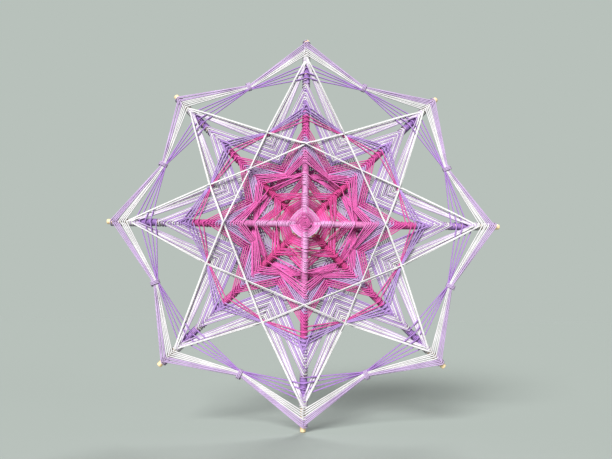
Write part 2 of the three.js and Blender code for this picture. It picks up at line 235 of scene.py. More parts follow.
# The windings from the hub outward
BANDS = (
    Band("eye_centre", "mauve_yarn", ("mauve", "light_pink"), 3.0, 4, 1.05, hop=2, bulge=(0.9, 0.75)),
    Band("eye_ring", "light_pink_yarn", EYE_RING_YARNS, 7.3, 5, 1.05, hop=2, slanted=True,
         bulge=(0.75, 0.55), crest=PAINTED_SPINE_HIGHLIGHT),
    Band("inner_web", "pink_yarn", ("rose", "pink"), 12.6, 8, 0.9, diagonal_start=12.0,
         crest=PAINTED_SPINE_HIGHLIGHT, painted_shade_coils="pink"),
    Band("inner_web", "pink_yarn", ("pink",), 19.8, 1, COIL_PITCH, turns=2, diagonal_start=19.7,
         crest=PAINTED_SPINE_HIGHLIGHT),
    Band("inner_web", "pink_yarn", ("pink",), 21.8, 1, COIL_PITCH, turns=8, diagonal_start=20.6,
         diagonal_turns=6, crest=PAINTED_SPINE_HIGHLIGHT),
    Band("front_square", "pink_yarn", ("pink", "rose"), 30.0, 5, 1.45, hop=2, turns=2, climb=1.45,
         crest=PAINTED_SPINE_HIGHLIGHT, rank=FRONT_SQUARE_RANK, slanted=True, passes="behind"),
    Band("back_square", "pink_yarn", ("pink", "rose"), 26.7, 5, 1.55, hop=2, first_arm=1, turns=2,
         climb=1.55, painted_shade_coils="pink", rank=BACK_SQUARE_RANK, slanted=True, passes="behind"),
    Band("pink_web", "pink_yarn", ("rose",), 37.1, 1, COIL_PITCH, diagonal_start=34.3,
         diagonal_turns=6, crest=PAINTED_OUTER_HIGHLIGHT, painted_shade_coils="pink"),
    Band("pink_web", "pink_yarn", ("rose",), 38.0, 1, COIL_PITCH, turns=9, diagonal_start=40.4,
         diagonal_turns=6, crest=PAINTED_OUTER_HIGHLIGHT, painted_shade_coils="pink"),
    star("pink_star", "light_pink_yarn", ("rose",), 46.4, 5, 2.0, (38.3, 40.4), crest=PAINTED_OUTER_HIGHLIGHT),
    star("periwinkle_star", "periwinkle_yarn", ("periwinkle",), 56.4, 5, 2.2, (29.5, 36.5)),
    star("magenta_star", "magenta_yarn", ("magenta",), 67.4, 4, 2.5, (36.9, 42.1)),
    Band("magenta_web", "magenta_yarn", ("magenta",), 77.3, 2, 3.6, turns=4,
         gather=KNOT_RADIUS - 1.4, gather_pitch=KNOT_PITCH),
    Band("purple_web", "purple_yarn", ("purple",), 84.8, 3, 2.8, turns=3,
         gather=KNOT_RADIUS - 0.4, gather_pitch=KNOT_PITCH),
    star("lilac_star", "lilac_yarn", LILAC_STAR_YARNS, 93.4, 9, 2.1, (40.7, 52.9)),
    Band("violet_web", "violet_yarn", ("violet",), 112.4, 4, 4.2, turns=4,
         gather=TIE_RADIUS - 2.9, gather_pitch=TIE_PITCH, tied=True),
    star("white_star", "white_yarn", WHITE_STAR_YARNS, 126.8, 7, 0.78, (52.4, 63.9)),
    Band("white_thread", "white_yarn", ("white",), 132.0, 2, 0.95, hop=3, rank=THREAD_RANK,
         slanted=True, passes="front", knotted=KNOT_RADIUS),
    Band("white_rim", "white_yarn", ("white",), 134.8, 4, 1.6, slanted=True,
         gather=TIE_RADIUS - 1.2, gather_pitch=TIE_PITCH, tied=True),
    Band("lilac_rim", "lilac_yarn", ("lilac",), 141.2, 4, 1.5, slanted=True,
         gather=TIE_RADIUS + 0.5, gather_pitch=TIE_PITCH, tied=True),
)


def colour_of_display(red, green, blue):
    """Turns display values from 0 to 255 into the linear colour that a shader reads."""
    shares = [value / 255 for value in (red, green, blue)]
    return tuple(s / 12.92 if s <= 0.04045 else ((s + 0.055) / 1.055) ** 2.4 for s in shares)


def colour_property(name, red, green, blue):
    """A colour setting, with its default as display values."""
    return FloatVectorProperty(
        name=name,
        description=f"Colour of the {name.lower()}",
        subtype="COLOR",
        size=3,
        min=0,
        max=1,
        default=colour_of_display(red, green, blue),
    )


class OjoSettings(bpy.types.PropertyGroup):
    """Sizes and colours of the mandala and of its stage."""

    yarn_diameter: FloatProperty(
        name="Yarn diameter", description="Thickness of every yarn", default=0.00098, unit="LENGTH",
        precision=5)
    yarn_sides: IntProperty(
        name="Yarn sides", description="Faces round a strand", default=6, min=3)
    ply_length: FloatProperty(
        name="Ply length", description="Length of yarn in which its plies turn once", default=0.0032,
        unit="LENGTH", precision=5)
    unevenness: FloatProperty(
        name="Unevenness", description="How far the hand-wound rounds stray", default=0.00018,
        unit="LENGTH", precision=5)
    tie_turns: IntProperty(
        name="Tie turns", description="Turns of yarn in each tie of the rim", default=3, min=1)
    stick_bevel: FloatProperty(
        name="Stick bevel", description="Rounding of the stick ends", default=0.0005, unit="LENGTH",
        precision=5)
    mauve: colour_property("Mauve yarn", 232, 106, 182)
    pink: colour_property("Pink yarn", 240, 80, 164)
    rose: colour_property("Rose yarn", 247, 114, 196)
    light_pink: colour_property("Light pink yarn", 250, 144, 214)
    pale_pink: colour_property("Pale pink yarn", 253, 186, 238)
    periwinkle: colour_property("Periwinkle yarn", 214, 178, 230)
    magenta: colour_property("Magenta yarn", 236, 94, 180)
    lilac: colour_property("Lilac yarn", 216, 190, 231)
    purple: colour_property("Purple yarn", 200, 160, 230)
    violet: colour_property("Violet yarn", 192, 146, 226)
    white: colour_property("White yarn", 251, 248, 249)
    wood: colour_property("Wood", 244, 220, 176)
    wood_grain: colour_property("Wood grain", 224, 186, 132)
    backdrop: colour_property("Backdrop", 184, 193, 187)


# Plan of the winding

def arm_angle(arm):
    """Direction of an arm, the first one upright and the rest clockwise from it."""
    return math.pi / 2 - arm * ARM_TURN


def on_ray(angle, radius):
    """A point of the plan, seen from the front."""
    return np.array((math.cos(angle), math.sin(angle))) * radius


def arm_depth(arm):
    """How far the stick of an arm lies behind the hub's middle."""
    return STICK_DEPTHS[arm % len(STICKS)]


def beside_arm(arm, plan):
    """How far points of the plan lie beside an arm, positive on its clockwise side."""
    angle = arm_angle(arm)
    return plan[..., 0] * math.sin(angle) - plan[..., 1] * math.cos(angle)


def along_arm(arm, plan):
    """How far points of the plan lie out along an arm."""
    return plan @ on_ray(arm_angle(arm), 1)


@dataclass(frozen=True)
class Reach:
    """Distances from a stick's axis at which yarn lies, in millimetres."""

    yarn: float
    wrap: float
    over: float


def reaches(settings):
    """Works out how far from a stick's axis the layers of yarn lie."""
    yarn = settings.yarn_diameter / MM
    wrap = STICK_DIAMETER / MM / 2 + yarn / 2
    return Reach(yarn, wrap, wrap + yarn)


def visits_of(band, stray):
    """The places where a band's yarn goes round a stick, in order: arm, distance out and round."""
    per_round = ARMS // math.gcd(ARMS, band.hop)
    visits = []
    for count in range(per_round * band.rounds + 1):
        lap = count // per_round
        arm = band.first_arm + band.hop * count
        out = band.start + band.pitch * lap + stray()
        if band.diagonal_start and arm % 2:
            out -= (band.start - band.diagonal_start) * (1 - lap / band.rounds)
        visits.append((arm, out, min(lap, band.rounds - 1)))
    return visits


def coil_yarns(band, arm, lap, steps):
    """The yarn at each point of a round on a stick, which lies so many steps beside its front crest."""
    own = band.yarns[lap % len(band.yarns)]
    # Painted shade: the diagonal sticks take a darker yarn for their coils
    if arm % 2:
        return [band.painted_shade_coils or own] * len(steps)
    # Painted highlight: near the front crest of the upright and level sticks the yarn is lighter
    return [band.crest[step] if step < len(band.crest) else own for step in steps]


def turn_points(band, arm, out, reach):
    """The turns round a stick at one visit, from its front and back to it over their own start.

    Also gives how many steps beside the stick's front crest the yarn lies after each point, which place
    the painted highlight.
    """
    count = band.diagonal_turns if band.diagonal_turns and arm % 2 else band.turns
    turned = np.linspace(0, 2 * math.pi * count, TURN_POINTS * count + 1)
    start_lift = START_LIFT * np.clip(1 - turned / (math.pi / 2), 0, 1)
    end_lift = END_LIFT * np.clip(1 - (turned[-1] - turned) / math.pi, 0, 1)
    radius = reach.wrap + reach.yarn * (start_lift + end_lift)
    angle = arm_angle(arm)
    climb = band.climb or COIL_PITCH * count
    outs = out + climb * turned / turned[-1]
    beside = radius * np.sin(turned)
    plan = outs[:, None] * on_ray(angle, 1) + beside[:, None] * on_ray(angle - math.pi / 2, 1)
    depth = arm_depth(arm) - radius * np.cos(turned)
    # Steps from the front crest, which place the painted highlight
    middles = turned + math.pi / TURN_POINTS
    steps = (np.arccos(np.cos(middles)) / HIGHLIGHT_STEP_TURN).astype(int)
    return np.column_stack((plan[:, 0], depth, plan[:, 1])), steps


def leg_stops(band, lap, start_arm, end_arm):
    """Places where a leg is tied, knotted or bent on its way: plan and, at a tie, depth."""
    stops = []
    share = lap / max(band.rounds - 1, 1)
    if band.gather:
        middle = (arm_angle(start_arm) + arm_angle(end_arm)) / 2
        point = on_ray(middle, band.gather + band.gather_pitch * lap)
        sideways = on_ray(middle - math.pi / 2, 1)
        if band.tied:
            layer = TIE_LAYER * (1 if lap % 2 else -1)
            depth = tie_depth(start_arm) + layer
            stops = [(point + sideways * side, depth) for side in (-TIE_HALF_WIDTH, TIE_HALF_WIDTH)]
        else:
            stops = [(point, WEB_KNOT_DEPTH)]
    if band.knotted:
        knot = band.knotted + band.pitch * lap
        for middle in (start_arm + 0.5, end_arm - 0.5):
            stops.append((on_ray(arm_angle(middle), knot), THREAD_KNOT_DEPTH))
    if band.behind:
        out = np.interp(share, (0, 1), band.behind)
        for arm in range(start_arm + 1, end_arm):
            stops.append((on_ray(arm_angle(arm), out), None))
            out -= PASS_STEP
    if band.bulge:
        out = band.start + band.pitch * (lap + 0.5)
        bulge = np.interp(share, (0, 1), band.bulge)
        turn = ARM_TURN * band.hop
        for place in BULGE_PLACES:
            chord = math.cos(turn / 2) / math.cos(turn * (place - 0.5))
            point = on_ray(arm_angle(start_arm + place * band.hop), out * (chord + bulge * (1 - chord)))
            stops.append((point, None))
    return stops


def tie_depth(arm):
    """Depth of the tie between an arm and the next."""
    low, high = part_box(f"tie_{arm % ARMS + 1}")
    return (low.y + high.y) / 2 / MM


class Leg:
    """One stretch of yarn between two sticks, as points whose depth settles later."""

    def __init__(self, start, end, stops, rank, yarn):
        self.corners = [start[[0, 2]], *(plan for plan, _ in stops), end[[0, 2]]]
        lengths = [math.dist(a, b) for a, b in zip(self.corners, self.corners[1:])]
        self.corner_shares = np.concatenate(([0], np.cumsum(lengths))) / sum(lengths)
        self.shares = np.linspace(0, 1, LEG_POINTS)
        for share in self.corner_shares[1:-1]:
            self.shares[np.abs(self.shares - share).argmin()] = share
        corners = np.array(self.corners)
        columns = [np.interp(self.shares, self.corner_shares, corners[:, axis]) for axis in (0, 1)]
        self.plan = np.column_stack(columns)
        self.low = np.full(LEG_POINTS, -np.inf)
        self.high = np.full(LEG_POINTS, np.inf)
        self.fixed = np.zeros(LEG_POINTS, bool)
        self.fixed[[0, -1]] = True
        self.guide = {0.0: start[1], 1.0: end[1]}
        self.rank = np.full(LEG_POINTS, rank)
        self.yarns = [yarn] * LEG_POINTS
        for (_, depth), share in zip(stops, self.corner_shares[1:-1]):
            if depth is not None:
                self.guide[share] = depth
                self.fixed[np.abs(self.shares - share).argmin()] = True

    def near(self, arm, reach):
        """Which points lie within reach of an arm's axis, and how far it bulges there."""
        beside = beside_arm(arm, self.plan)
        close = (np.abs(beside) < reach) & (along_arm(arm, self.plan) > 0)
        bulge = np.sqrt(np.clip(reach ** 2 - beside ** 2, 0, None))
        return close, bulge

    def hold_in_front(self, arm, reach):
        """Keeps the leg in front of the turns on an arm."""
        close, bulge = self.near(arm, reach)
        self.high[close] = np.minimum(self.high[close], arm_depth(arm) - bulge[close])

    def hold_behind(self, arm, reach):
        """Keeps the leg behind the turns on an arm."""
        close, bulge = self.near(arm, reach)
        self.low[close] = np.maximum(self.low[close], arm_depth(arm) + bulge[close])

    def pass_arm(self, arm, reach, in_front):
        """Leads the leg past an arm that it doesn't go round."""
        beside = beside_arm(arm, self.plan)
        nearest = np.where(along_arm(arm, self.plan) > 0, np.abs(beside), np.inf).argmin()
        side = -1 if in_front else 1
        self.guide[self.shares[nearest]] = arm_depth(arm) + side * reach
        if in_front:
            self.hold_in_front(arm, reach)
        else:
            self.hold_behind(arm, reach)

    def first_depths(self):
        """Straight runs between the places where the depth is known."""
        shares = sorted(self.guide)
        return np.interp(self.shares, shares, [self.guide[share] for share in shares])


@dataclass
class Run:
    """The whole unbroken yarn of one band: its turns, and the legs between them."""

    band: Band
    turns: list
    turn_yarns: list
    legs: list


def plan_run(band, reach, stray):
    """Lays out one band's yarn with its depths still open."""
    visits = visits_of(band, stray)
    turns, turn_yarns, legs = [], [], []
    for arm, out, lap in visits:
        points, steps = turn_points(band, arm, out, reach)
        turns.append(points)
        turn_yarns.append(coil_yarns(band, arm, lap, steps))
    for index, (arm, _, lap) in enumerate(visits[:-1]):
        next_arm = visits[index + 1][0]
        stops = leg_stops(band, lap, arm, next_arm)
        rank = band.rank + band.pitch * lap * RANK_STEP
        yarn = band.yarns[lap % len(band.yarns)]
        leg = Leg(turns[index][-1], turns[index + 1][0], stops, rank, yarn)
        leg.hold_in_front(arm, reach.wrap + LEAVING_LIFT * reach.yarn)
        leg.hold_in_front(next_arm, reach.wrap + REACHING_LIFT * reach.yarn)
        if band.passes:
            for passed in range(arm + 1, next_arm):
                leg.pass_arm(passed, reach.over, band.passes == "front")
        for own in (arm, next_arm):
            close, _ = leg.near(own, reach.over)
            if band.slanted:
                leg.rank[close] = np.minimum(leg.rank[close], OWN_ARM_RANK)
            # Legs near their own arms take the coil yarns: the painted highlight on the crest, the painted
            # shade on diagonals
            steps = (np.abs(beside_arm(own, leg.plan[close])) / HIGHLIGHT_STEP_WIDTH).astype(int)
            for point, coil in zip(np.flatnonzero(close), coil_yarns(band, own, lap, steps)):
                leg.yarns[point] = coil
        legs.append(leg)
    return Run(band, turns, turn_yarns, legs)


def cross_product(first, second):
    """The turn from one plan direction to another."""
    return first[:, 0] * second[:, 1] - first[:, 1] * second[:, 0]


def point_numbers(legs, owners, shares):
    """The numbers, with fractions, of the points at given shares of the way along legs."""
    numbers = np.arange(LEG_POINTS)
    return np.array([np.interp(share, legs[owner].shares, numbers) for owner, share in zip(owners, shares)])


def find_crossings(legs):
    """Every place where two legs cross in plan: front leg and point, back leg and point."""
    owners, starts, ends, from_share, to_share = [], [], [], [], []
    for index, leg in enumerate(legs):
        for part in range(len(leg.corners) - 1):
            owners.append(index)
            starts.append(leg.corners[part])
            ends.append(leg.corners[part + 1])
            from_share.append(leg.corner_shares[part])
            to_share.append(leg.corner_shares[part + 1])
    owners = np.array(owners)
    starts, ends = np.array(starts), np.array(ends)
    from_share, to_share = np.array(from_share), np.array(to_share)
    one, two = np.triu_indices(len(owners), 1)
    first, second = ends[one] - starts[one], ends[two] - starts[two]
    offset = starts[two] - starts[one]
    turn = cross_product(first, second)
    turn[np.abs(turn) < NEARLY_ZERO] = np.inf
    one_at = cross_product(offset, second) / turn
    two_at = cross_product(offset, first) / turn
    nearest, farthest = CROSSING_MARGIN, 1 - CROSSING_MARGIN
    inside = (one_at > nearest) & (one_at < farthest) & (two_at > nearest) & (two_at < farthest)
    one, two, one_at, two_at = one[inside], two[inside], one_at[inside], two_at[inside]
    one_share = from_share[one] + one_at * (to_share[one] - from_share[one])
    two_share = from_share[two] + two_at * (to_share[two] - from_share[two])
    one, two = owners[one], owners[two]
    one_point = point_numbers(legs, one, one_share)
    two_point = point_numbers(legs, two, two_share)
    ranks = np.stack([leg.rank for leg in legs])
    lead = ranks[one, one_point.round().astype(int)] - ranks[two, two_point.round().astype(int)]
    lead = np.where(np.abs(lead) < NEARLY_ZERO, one_share - two_share, lead)
    ahead = lead < 0
    return (np.where(ahead, one, two), np.where(ahead, one_point, two_point),
            np.where(ahead, two, one), np.where(ahead, two_point, one_point))


def settle(legs, spacing):
    """Pulls the legs taut and presses crossing strands apart, and returns the depth of every point."""
    depth = np.stack([leg.first_depths() for leg in legs])
    low = np.stack([leg.low for leg in legs])
    high = np.stack([leg.high for leg in legs])
    fixed = np.stack([leg.fixed for leg in legs])
    held = depth.copy()
    front, front_point, back, back_point = find_crossings(legs)
    front_low = np.minimum(front_point.astype(int), LEG_POINTS - 2)
    back_low = np.minimum(back_point.astype(int), LEG_POINTS - 2)
    front_share = front_point - front_low
    back_share = back_point - back_low

    def at(leg, point, share):
        return depth[leg, point] * (1 - share) + depth[leg, point + 1] * share

    for step in range(SETTLE_PASSES + CLEAR_PASSES):
        if step < SETTLE_PASSES:
            middle = (depth[:, :-2] + depth[:, 2:]) / 2
            depth[:, 1:-1] += PULL * (middle - depth[:, 1:-1])
        depth = np.clip(depth, low, high)
        short = spacing - at(back, back_low, back_share) + at(front, front_low, front_share)
        push = PRESS * np.clip(short, 0, spacing)
        np.add.at(depth, (front, front_low), -push * (1 - front_share))
        np.add.at(depth, (front, front_low + 1), -push * front_share)
        np.add.at(depth, (back, back_low), push * (1 - back_share))
        np.add.at(depth, (back, back_low + 1), push * back_share)
        depth[fixed] = held[fixed]
    return depth


@lru_cache(maxsize=1)
def wound_yarn():
    """All the yarn of the mandala in millimetres, grouped by the node that it replaces.

    A strand is its band, its points and the yarn that shows after each point.
    """
    settings = bpy.context.scene.ojo
    reach = reaches(settings)
    chance = np.random.default_rng(SEED)
    spread = settings.unevenness / MM
    runs = [plan_run(band, reach, lambda: chance.normal(0, spread)) for band in BANDS]
    legs = [leg for run in runs for leg in run.legs]
    depths = settle(legs, reach.yarn)
    strands = {}
    position = 0
    for run in runs:
        points, yarns = [], []
        for index, turn in enumerate(run.turns):
            points.append(turn)
            yarns += run.turn_yarns[index]
            if index < len(run.legs):
                leg = run.legs[index]
                points.append(np.column_stack((leg.plan[:, 0], depths[position], leg.plan[:, 1]))[1:-1])
                yarns += leg.yarns[1:-1]
                position += 1
        strands.setdefault(run.band.node, []).append((run.band, np.concatenate(points), yarns))
    return strands


def hub_spiral(settings):
    """The start of the eye: yarn coiled flat over the front of the hub, as points in millimetres."""
    reach = reaches(settings)
    turned = np.linspace(0, 2 * math.pi * HUB_TURNS, TURN_POINTS * HUB_TURNS * 2)
    out = reach.yarn * (HUB_START + turned / (2 * math.pi))
    front = min(STICK_DEPTHS) - reach.over
    depth = front + HUB_DOME * (out / out[-1]) ** 2
    return np.column_stack((out * np.cos(turned), depth, out * np.sin(turned)))


# Meshes of yarn

def tube(points, radius, sides):
    """Rings of a tube that follows points without twist, and how far each corner faces front or back."""
    path = [Vector(point) for point in points]
    rings, facing = [], []
    across = None
    for index, point in enumerate(path):
        before = path[max(index - 1, 0)]
        after = path[min(index + 1, len(path) - 1)]
        along = (after - before).normalized()
        if across is None:
            across = along.orthogonal().normalized()
        across = (across - along * across.dot(along)).normalized()
        third = along.cross(across)
        for side in range(sides):
            turn = 2 * math.pi * side / sides
            outward = across * math.cos(turn) + third * math.sin(turn)
            rings.append(point + outward * radius)
            facing.append(abs(outward.y))
    return rings, facing


def yarn_mesh(name, strands, settings, materials):
    """One mesh of closed tubes. A strand is its points in metres and the material after each point."""
    sides = settings.yarn_sides
    vertices, facing, faces, places, face_materials = [], [], [], [], []
    for points, indices in strands:
        base = len(vertices)
        rings, ring_facing = tube(points, settings.yarn_diameter / 2, sides)
        vertices += rings
        facing += ring_facing
        steps = np.linalg.norm(np.diff(points, axis=0), axis=1)
        run = np.concatenate(([0], np.cumsum(steps)))
        for ring in range(len(points) - 1):
            first = base + ring * sides
            for side in range(sides):
                after = (side + 1) % sides
                faces.append((first + side, first + after, first + sides + after, first + sides + side))
                left, right = side / sides, (side + 1) / sides
                places += [left, run[ring], right, run[ring], right, run[ring + 1], left, run[ring + 1]]
                face_materials.append(indices[ring])
        last = base + (len(points) - 1) * sides
        for ring, length in ((list(range(base, base + sides))[::-1], run[0]),
                             (list(range(last, last + sides)), run[-1])):
            faces.append(tuple(ring))
            places += [0, length] * sides
            face_materials.append(indices[0])
    mesh = bpy.data.meshes.new(name)
    mesh.from_pydata(vertices, [], faces)
    mesh.uv_layers.new(name="yarn_run").data.foreach_set("uv", places)
    # How far each corner faces front or back, which sets the painted shade on the strand sides
    mesh.attributes.new("facing", "FLOAT", "POINT").data.foreach_set("value", facing)
    for material in materials:
        mesh.materials.append(material)
    mesh.polygons.foreach_set("material_index", face_materials)
    mesh.polygons.foreach_set("use_smooth", [True] * len(faces))
    mesh.update()
    piece = bpy.data.objects.new(name, mesh)
    bpy.context.scene.collection.objects.link(piece)
    return piece


def wind(nodes, over_hub=False):
    """Makes the yarn piece that stands for each of the given windings, which may start over the hub."""
    settings = bpy.context.scene.ojo
    for node in nodes:
        bands = wound_yarn()[node]
        yarns = sorted({yarn for _, _, point_yarns in bands for yarn in point_yarns})
        strands = []
        for _, points, point_yarns in bands:
            strands.append((points * MM, [yarns.index(yarn) for yarn in point_yarns]))
        if over_hub:
            start = hub_spiral(settings)
            first_yarn = bands[0][0].yarns[0]
            strands.append((start * MM, [yarns.index(first_yarn)] * len(start)))
        piece = yarn_mesh(f"{node}_yarn", strands, settings, [yarn_material(yarn) for yarn in yarns])
        hand_over(piece, node)


def hand_over(piece, node):
    """Puts a finished piece in the place of a node of the frame."""
    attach(piece, "root")
    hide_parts(node)


# Materials

def node_group(name, inputs, outputs):
    """A shader group with named sockets, and its two end nodes."""
    group = bpy.data.node_groups.new(name, "ShaderNodeTree")
    for label, kind, value in inputs:
        socket = group.interface.new_socket(label, in_out="INPUT", socket_type=kind)
        socket.default_value = value
    for label, kind in outputs:
        group.interface.new_socket(label, in_out="OUTPUT", socket_type=kind)
    return group, group.nodes.new("NodeGroupInput"), group.nodes.new("NodeGroupOutput")


def math_node(tree, operation, first, second=None):
    """A Math node fed by sockets or plain numbers."""
    node = tree.nodes.new("ShaderNodeMath")
    node.operation = operation
    for socket, value in zip(node.inputs, (first, second)):
        if isinstance(value, bpy.types.NodeSocket):
            tree.links.new(value, socket)
        elif value is not None:
            socket.default_value = value
    return node.outputs[0]


def mix_colour(tree, factor, first, second):
    """A colour mix of two sockets. A Mix node's colour sockets are known by their numbers alone."""
    first_colour, second_colour, mixed = 6, 7, 2
    node = tree.nodes.new("ShaderNodeMix")
    node.data_type = "RGBA"
    tree.links.new(factor, node.inputs["Factor"])
    tree.links.new(first, node.inputs[first_colour])
    tree.links.new(second, node.inputs[second_colour])
    return node.outputs[mixed]


@lru_cache(maxsize=1)
def plied_yarn_group():
    """Twisted plies along the yarn, with loose fibres, uneven dye, and painted shade between plies and on
    strand sides.
    """
    group, given, result = node_group(
        "Plied yarn",
        [("Dyed", "NodeSocketColor", (1, 1, 1, 1)), ("Painted shade and dark dye", "NodeSocketColor", (0.5, 0.5, 0.5, 1)),
         ("Ply length", "NodeSocketFloat", 0.003), ("Plies", "NodeSocketFloat", 3.0)],
        [("Colour", "NodeSocketColor"), ("Height", "NodeSocketFloat")],
    )
    links = group.links
    run = group.nodes.new("ShaderNodeUVMap")
    run.uv_map = "yarn_run"
    parts = group.nodes.new("ShaderNodeSeparateXYZ")
    links.new(run.outputs["UV"], parts.inputs[0])
    around = math_node(group, "MULTIPLY", parts.outputs["X"], given.outputs["Plies"])
    along = math_node(group, "DIVIDE", parts.outputs["Y"], given.outputs["Ply length"])
    turned = math_node(group, "MULTIPLY", math_node(group, "ADD", around, along), math.pi)
    ply = math_node(group, "ABSOLUTE", math_node(group, "SINE", turned))
    place = group.nodes.new("ShaderNodeTexCoord")
    fibres = group.nodes.new("ShaderNodeTexNoise")
    fibres.inputs["Scale"].default_value = 2600
    fibres.inputs["Detail"].default_value = 3
    dye = group.nodes.new("ShaderNodeTexNoise")
    dye.inputs["Scale"].default_value = 90
    for noise in (fibres, dye):
        links.new(place.outputs["Object"], noise.inputs["Vector"])
    fuzz = math_node(group, "MULTIPLY", fibres.outputs["Fac"], FIBRE_SHARE)
    height = math_node(group, "ADD", ply, fuzz)
    links.new(height, result.inputs["Height"])
    patchy = math_node(group, "MULTIPLY", dye.outputs["Fac"], DYE_SHARE)
    # Painted shade between the plies, mixed with darker patches of uneven dye and fibres
    lit = math_node(group, "ADD", math_node(group, "MULTIPLY", height, PLY_SHARE), patchy)
    clear = group.nodes.new("ShaderNodeClamp")
    links.new(lit, clear.inputs["Value"])
    # Painted shade on the sides of each strand that face neither front nor back, as if neighbouring strands
    # shaded them
    facing = group.nodes.new("ShaderNodeAttribute")
    facing.attribute_name = "facing"
    painted_side_shade = group.nodes.new("ShaderNodeMapRange")
    painted_side_shade.interpolation_type = "SMOOTHSTEP"
    painted_side_shade.inputs["From Max"].default_value = UNSHADED_FACING
    links.new(facing.outputs["Fac"], painted_side_shade.inputs["Value"])
    shown = math_node(group, "MULTIPLY", clear.outputs[0], painted_side_shade.outputs["Result"])
    colour = mix_colour(group, shown, given.outputs["Painted shade and dark dye"], given.outputs["Dyed"])
    links.new(colour, result.inputs["Colour"])
    return group


def shader_tree(name):
    """A new node material, its tree and its Principled shader."""
    material = bpy.data.materials.new(name)
    material.use_nodes = True
    return material, material.node_tree, material.node_tree.nodes["Principled BSDF"]


def bump(tree, shader, height, strength, distance):
    """Feeds a height to the shader's normal."""
    node = tree.nodes.new("ShaderNodeBump")
    node.inputs["Strength"].default_value = strength
    node.inputs["Distance"].default_value = distance
    tree.links.new(height, node.inputs["Height"])
    tree.links.new(node.outputs["Normal"], shader.inputs["Normal"])


@lru_cache(maxsize=None)
def yarn_material(yarn):
    """Soft plied yarn of one of the colours in the settings."""
    settings = bpy.context.scene.ojo
    dyed = getattr(settings, yarn)
    # A darker copy of the dye: painted shade between the plies and on the strand sides, and the dark of
    # uneven dye
    shade_and_dark_dye = [value ** SHADE_AND_DARK_DYE_POWER * SHADE_AND_DARK_DYE_LEVEL for value in dyed]
    material, tree, shader = shader_tree(f"{yarn}_yarn")
    plies = tree.nodes.new("ShaderNodeGroup")
    plies.node_tree = plied_yarn_group()
    plies.inputs["Dyed"].default_value = (*dyed, 1)
    plies.inputs["Painted shade and dark dye"].default_value = (*shade_and_dark_dye, 1)
    plies.inputs["Ply length"].default_value = settings.ply_length
    tree.links.new(plies.outputs["Colour"], shader.inputs["Base Color"])
    bump(tree, shader, plies.outputs["Height"], strength=0.6, distance=settings.yarn_diameter * PLY_RELIEF)
    shader.inputs["Roughness"].default_value = 0.88
    shader.inputs["Specular IOR Level"].default_value = 0.25
    shader.inputs["Sheen Weight"].default_value = 0.2
    shader.inputs["Sheen Roughness"].default_value = 0.5
    return material


@lru_cache(maxsize=1)
def wood_material():
    """Bare pale dowel with fine grain along its length."""
    settings = bpy.context.scene.ojo
    material, tree, shader = shader_tree("dowel_wood")
    place = tree.nodes.new("ShaderNodeUVMap")
    place.uv_map = "grain"
    stretch = tree.nodes.new("ShaderNodeMapping")
    stretch.inputs["Scale"].default_value = (6, 40, 1)
    tree.links.new(place.outputs["UV"], stretch.inputs["Vector"])
    grain = tree.nodes.new("ShaderNodeTexNoise")
    grain.inputs["Scale"].default_value = 3
    grain.inputs["Detail"].default_value = 5
    tree.links.new(stretch.outputs["Vector"], grain.inputs["Vector"])
    ramp = tree.nodes.new("ShaderNodeValToRGB")
    ramp.color_ramp.elements[0].position = 0.35
    ramp.color_ramp.elements[0].color = (*settings.wood_grain, 1)
    ramp.color_ramp.elements[1].position = 0.6
    ramp.color_ramp.elements[1].color = (*settings.wood, 1)
    tree.links.new(grain.outputs["Fac"], ramp.inputs["Fac"])
    tree.links.new(ramp.outputs["Color"], shader.inputs["Base Color"])
    bump(tree, shader, grain.outputs["Fac"], strength=0.4, distance=0.0001)
    shader.inputs["Roughness"].default_value = 0.6
    return material


# Operators

class OJO_OT_sticks(bpy.types.Operator):
    """Turn the four crossed dowels, with rounded ends"""

    bl_idname = "ojo.sticks"
    bl_label = "Sticks"

    def execute(self, context):
        settings = context.scene.ojo
        for arm, node in enumerate(STICKS):
            bpy.ops.object.select_all(action="DESELECT")
            bpy.ops.mesh.primitive_cylinder_add(
                vertices=STICK_SIDES, radius=STICK_DIAMETER / 2, depth=STICK_LENGTH, calc_uvs=True,
                location=(0, arm_depth(arm) * MM, 0), rotation=(0, arm * ARM_TURN, 0))
            stick = context.active_object
            stick.name = f"{node}_dowel"
            stick.data.uv_layers[0].name = "grain"
            ends = stick.modifiers.new("ends", "BEVEL")
            ends.width = settings.stick_bevel
            ends.segments = 3
            bpy.ops.object.modifier_apply(modifier=ends.name)
            bpy.ops.object.transform_apply(location=True, rotation=True, scale=True)
            bpy.ops.object.shade_smooth_by_angle(angle=SMOOTH_ANGLE)
            stick.data.materials.append(wood_material())
            hand_over(stick, node)
        return {"FINISHED"}


class OJO_OT_eye(bpy.types.Operator):
    """Wind the eye over the hub"""

    bl_idname = "ojo.eye"
    bl_label = "Eye"

    def execute(self, context):
        wind(("eye_centre",), over_hub=True)
        wind(("eye_ring",))
        return {"FINISHED"}


class OJO_OT_inner_rounds(bpy.types.Operator):
    """Wind the pink webs and squares round the eye"""

    bl_idname = "ojo.inner_rounds"
    bl_label = "Inner rounds"

    def execute(self, context):
        wind(("inner_web", "front_square", "back_square", "pink_web"))
        return {"FINISHED"}


class OJO_OT_stars(bpy.types.Operator):
    """Wind the star bands"""

    bl_idname = "ojo.stars"
    bl_label = "Stars"

    def execute(self, context):
        wind(("pink_star", "periwinkle_star", "magenta_star", "lilac_star", "white_star"))
        return {"FINISHED"}


class OJO_OT_outer_webs(bpy.types.Operator):
    """Wind the webs that are drawn to the knots and ties"""

    bl_idname = "ojo.outer_webs"
    bl_label = "Outer webs"

    def execute(self, context):
        wind(("magenta_web", "purple_web", "violet_web"))
        return {"FINISHED"}


class OJO_OT_rim(bpy.types.Operator):
    """Wind the rim and the white thread in front"""

    bl_idname = "ojo.rim"
    bl_label = "Rim and thread"

    def execute(self, context):
        wind(("white_rim", "lilac_rim", "white_thread"))
        return {"FINISHED"}


